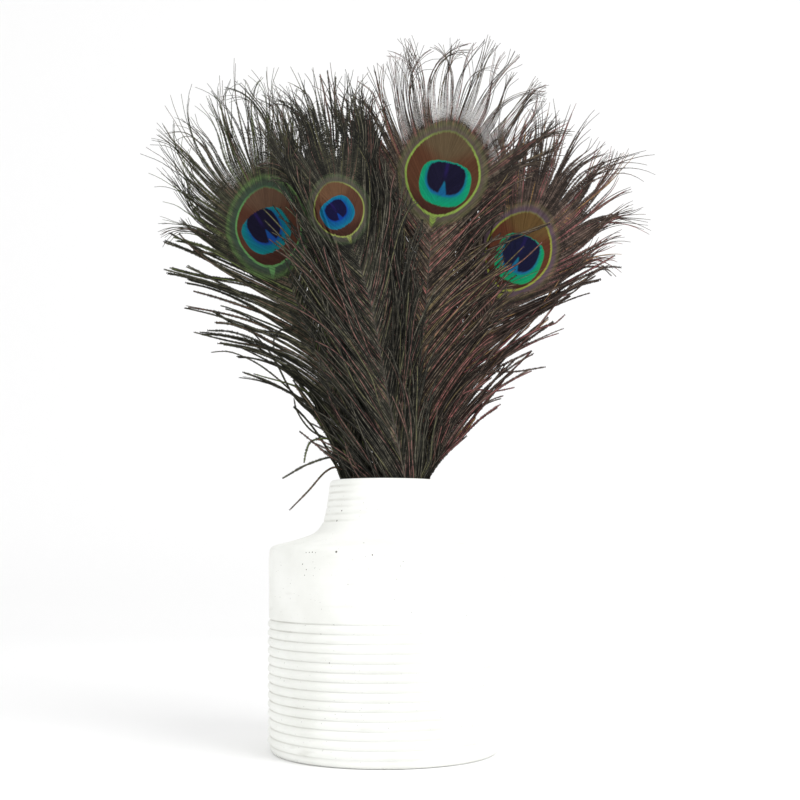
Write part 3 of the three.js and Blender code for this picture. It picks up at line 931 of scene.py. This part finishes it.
def plumage(name, eye, colours):
    """A feather's finish: its herls, and its eye from the halo in to the pupil."""
    finish = Finish("plumage_" + name)
    place = finish.place()
    tone = finish.add("ShaderNodeAttribute", {"attribute_name": "tone"}, {}, "Fac")
    edge = abs(finish.add("ShaderNodeAttribute", {"attribute_name": "edge"}, {}, "Fac"))
    from_centre = {0: place, 1: tuple(eye.centre * MM)}
    offset = finish.add("ShaderNodeVectorMath", {"operation": "SUBTRACT"}, from_centre)

    def along_axis(direction, half):
        dot = {0: offset, 1: tuple(direction / (half * MM))}
        return finish.add("ShaderNodeVectorMath", {"operation": "DOT_PRODUCT"}, dot, "Value")

    # x and y are 1 on the eye's outer line. Each barb carries its colours a little up or down.
    ragged = (tone - 0.5) * 0.03
    x = along_axis(eye.across, eye.width)
    y = along_axis(eye.along, eye.length) + ragged
    ring = (abs(x) ** EYE_POWER + abs(y) ** EYE_POWER) ** (1 / EYE_POWER)
    pattern_x = along_axis(eye.pattern_across, eye.width) - colours["shift"][0]
    pattern_y = along_axis(eye.pattern_along, eye.length) - colours["shift"][1] + ragged

    def patch(cx, cy, size, softness):
        """1 inside a shape that is flat on top and round below, and how far out a point is."""
        half, up, down = size
        dy = pattern_y - cy
        above = dy.maths("MAXIMUM", 0.0) / up
        below = (dy * -1).maths("MAXIMUM", 0.0) / down
        far = (abs(pattern_x - cx) / half) ** 2.6 + above ** 3.4 + below ** 2
        return 1 - finish.rise(far, 1 - softness, 1 + softness), far

    fibre = finish.noise(finish.stretched(place, (1400, 1400, 260)), 1, 2)
    # Loose herls: near black, with a painted glint on their barbules in places, and a thin lighter
    # rib.
    painted_glint_mask = finish.rise(finish.noise(place, 75, 3) + (tone - 0.5) * 0.5, 0.5, 0.75)
    herl = finish.mix(painted_glint_mask, colours["herl"], colours["painted_glint"])
    # The rib's colour is partly its own tan and partly a painted highlight along its ridge, pink or
    # yellow on some barbs.
    rib_and_highlight_colour = finish.mix(tone > 0.72, colours["rib"], colours["rib_warm"])
    rib_and_highlight_colour = finish.mix(tone > 0.9, rib_and_highlight_colour, colours["rib_bright"])
    broken = finish.rise(finish.noise(place, 420, 2), 0.36, 0.62) * 0.75 + 0.25
    rib = (1 - finish.rise(edge, 0.1, 0.26)) * (0.3 + tone * 0.7) * broken
    herl = finish.mix(rib, herl, rib_and_highlight_colour)
    # The eye, from its halo inwards.
    in_halo = 1 - finish.rise(abs(ring - colours["halo_at"]), 0.0, 0.11)
    in_halo = in_halo * (0.4 + tone * 0.6) * colours["halo_weight"]
    in_band = (1 - finish.rise(ring, 1.08, colours["halo_at"] + 0.08)) * (0.7 + tone * 0.3)
    colour = finish.mix(in_band, herl, colours["band"])
    colour = finish.mix(in_halo, colour, colours["halo"])
    bright = finish.rise(abs(x) * 0.9 - y * 0.75, -0.55, 0.5) * 0.75 + 0.25
    in_line = finish.rise(ring, 0.97, 0.995) * (1 - finish.rise(ring, 1.02, 1.055)) * bright
    bronze = finish.mix(finish.rise(y - abs(x) * 0.5, 0.0, 0.5), colours["sides"], colours["top"])
    bronze = finish.mix(1 - finish.rise(y, -0.85, -0.35), bronze, colours["low"])
    colour = finish.mix(1 - finish.rise(ring, 0.98, 1.03), colour, bronze)
    colour = finish.mix(in_line, colour, colours["line"])
    kidney, from_kidney = patch(0.03, -0.22, colours["kidney_size"], 0.07)
    pupil, from_pupil = patch(0.03, -0.08, colours["pupil_size"], 0.12)
    outer = finish.rise(from_kidney, 0.3, 0.95)
    turquoise = finish.mix(outer, colours["kidney"], colours["kidney_edge"])
    colour = finish.mix(kidney, colour, turquoise)
    lower = 1 - finish.rise(pattern_y, -0.5, 0.25)
    near_pupil = (1 - finish.rise(from_pupil, 1.05, 1.5)) * (0.25 + lower * 0.6)
    colour = finish.mix(near_pupil * kidney, colour, colours["pupil_rim"])
    open_by = ((pattern_y + 0.14) * -0.34).maths("MAXIMUM", 0.0)
    notch = 1 - finish.rise(abs(pattern_x - 0.016) - open_by, -0.03, 0.03)
    notch = notch * (1 - finish.rise(pattern_y, -0.2, -0.14))
    violet = (1 - finish.rise(abs(pattern_x), 0.0, 0.09)) * finish.rise(pattern_y, -0.2, 0.1) * 0.25
    indigo = finish.mix(violet, colours["pupil"], ink(60, 40, 130))
    colour = finish.mix(pupil * (1 - notch), colour, indigo)
    # The foot of the eye: its outer line opens in a V, and runs down the shaft in a short stem.
    stem = (1 - finish.rise(abs(x) - (y + 1.25) * 0.25, 0.02, 0.07)) * finish.rise(y, -1.35, -1.15)
    stem = stem * (1 - finish.rise(y, -1.02, -0.96))
    colour = finish.mix(stem * (0.5 + tone * 0.5), colour, colours["line"])
    light = 0.52 + fibre * 0.22 + tone * 0.18
    grey = finish.add("ShaderNodeCombineXYZ", {}, {"X": light, "Y": light, "Z": light})
    shaded = {0: colour, 1: grey}
    colour = finish.add("ShaderNodeVectorMath", {"operation": "MULTIPLY"}, shaded)
    inside = 1 - finish.rise(ring, 1.1, 1.5)
    finish.set(Base_Color=colour, Roughness=0.6 - inside * 0.16 + fibre * 0.1)
    finish.set(Metallic=inside * 0.4, Specular_IOR_Level=0.1)
    return finish.material


BARB_TREE = barb_tree()
for number, (name, shaft) in enumerate(shafts.items()):
    eye = Eye(shaft, FEATHERS[name])
    material = plumage(name, eye, PLUMAGE[name])
    for part, (first, last, seed) in PARTS.items():
        chance = np.random.default_rng(number * 10 + seed)
        in_vane = part == "vane"
        in_eye = eye if in_vane else None
        sides = []
        for side, key in ((-1, "left"), (1, "right")):
            habit, crowding = (CROWNS[name][side > 0], 1.0) if in_vane else HERLS[name][side > 0]
            place, distance = places_up(first, last, shaft, crowding)
            tuft = tufts(len(place), *TUFT_SIZES[part], chance)
            angles = barb_angles(BARB_ROWS[name][key], place)
            paths = barb_paths(shaft, side, angles, place, distance, tuft, chance, habit, in_eye)
            sides.append(paths)
        if in_vane:
            place = np.full(len(TIP_FAN), 2.0)
            distance = np.full(len(TIP_FAN), shaft.length - 0.1)
            _, _, length = barb_angles(BARB_ROWS[name]["left"], place)
            angles = TIP_FAN[:, None], TIP_FAN[:, None] * 0.6, length
            tuft = tufts(len(place), *TUFT_SIZES["tip"], chance)
            sides.append(barb_paths(shaft, 1, angles, place, distance, tuft, chance, habit, in_eye))
        else:
            sides.append(stray_paths(STRAYS[name], shaft))
        hair = [PLUMAGE[name][key] for key in ("strand", "fullness", "opens")]
        values = [rib_values(paths, eye, in_vane, *hair, chance) for paths in sides]
        half_width, facing, barbule = (np.concatenate(group) for group in zip(*values))
        paths = np.concatenate(sides)
        count = len(paths)
        all_points = np.ones((count, BARB_STEPS + 1))
        piece = guides(
            part + "_" + name, paths, facing=facing, half_width=half_width * MM,
            barbule=barbule * MM, share=all_points * np.linspace(0, 1, BARB_STEPS + 1),
            barb=all_points * np.arange(count)[:, None],
            tone=all_points * chance.random((count, 1)),
        )
        grown(piece, BARB_TREE, **{
            "Finish": material, "Seed": number,
            "Barbule Pitch": BARBULE_PITCH * (VANE_PITCH if in_vane else 1.0) * MM,
            "Barbule Base": BARBULE_BASE, "Barbule Lean": BARBULE_LEAN,
            "Barbule Variation": BARBULE_VARIATION,
        })
        lay_out(piece, count)
        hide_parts("feather_" + name)
        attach(piece, "root")
        "barbs_" + name

# ---------------------------------------------------------------- the studio
# A pale seamless sweep under and behind the vase, a big soft light from the right with a weak one
# from the left, and a camera that looks level from the front. Everything here is in metres.

SWEEP_HALF_WIDTH = 2.6
SKY_STRENGTH = 0.92
CAMERA_AT = (0.0075, -0.62, 0.1025)
sweep_line = smooth_line([
    (-1.6, 0), (-0.6, 0), (0.6, 0), (1.1, 0.0), (1.5, 0.12), (1.7, 0.5), (1.75, 1.2), (1.75, 2.4),
], 10)
sweep_points = [(x, y, z) for y, z in sweep_line for x in (-SWEEP_HALF_WIDTH, SWEEP_HALF_WIDTH)]
sweep_faces = [(2 * i, 2 * i + 1, 2 * i + 3, 2 * i + 2) for i in range(len(sweep_line) - 1)]
sweep_mesh = bpy.data.meshes.new("sweep")
sweep_mesh.from_pydata(sweep_points, [], sweep_faces)
sweep_mesh.shade_smooth()
sweep = bpy.data.objects.new("sweep", sweep_mesh)
bpy.context.collection.objects.link(sweep)
paper = Finish("paper")
paper.set(Base_Color=ink(250, 250, 250), Roughness=0.9, Specular_IOR_Level=0.1)
sweep_mesh.materials.append(paper.material)

world = bpy.data.worlds.new("studio")
world.use_nodes = True
sky = world.node_tree.nodes["Background"]
sky.inputs["Color"].default_value = (1.0, 1.0, 1.0, 1.0)
sky.inputs["Strength"].default_value = SKY_STRENGTH
bpy.context.scene.world = world

# Each light: its name, its place, the point that it faces, its side, and its power in watts.
LIGHTS = [
    ("key", (0.95, -0.75, 1.0), (0, 0, 0.15), 0.9, 11.0),
    ("fill", (-1.0, -0.9, 0.7), (0, 0, 0.15), 1.0, 1.5),
]
for name, spot, aim, size, power in LIGHTS:
    light = bpy.data.lights.new(name, "AREA")
    light.size = size
    light.energy = power
    lamp = bpy.data.objects.new(name, light)
    lamp.location = spot
    away = np.array(spot) - np.array(aim)
    tilt = math.acos(away[2] / np.linalg.norm(away))
    lamp.rotation_euler = (tilt, 0, math.atan2(away[0], -away[1]))
    bpy.context.collection.objects.link(lamp)

camera_data = bpy.data.cameras.new("camera")
camera_data.sensor_width = 36
camera_data.lens = 55.8
camera_data.shift_y = 0.181
camera = bpy.data.objects.new("camera", camera_data)
camera.location = CAMERA_AT
camera.rotation_euler = (math.pi / 2, 0, 0)
bpy.context.collection.objects.link(camera)
bpy.context.scene.camera = camera
bpy.context.scene.view_settings.view_transform = "Standard"
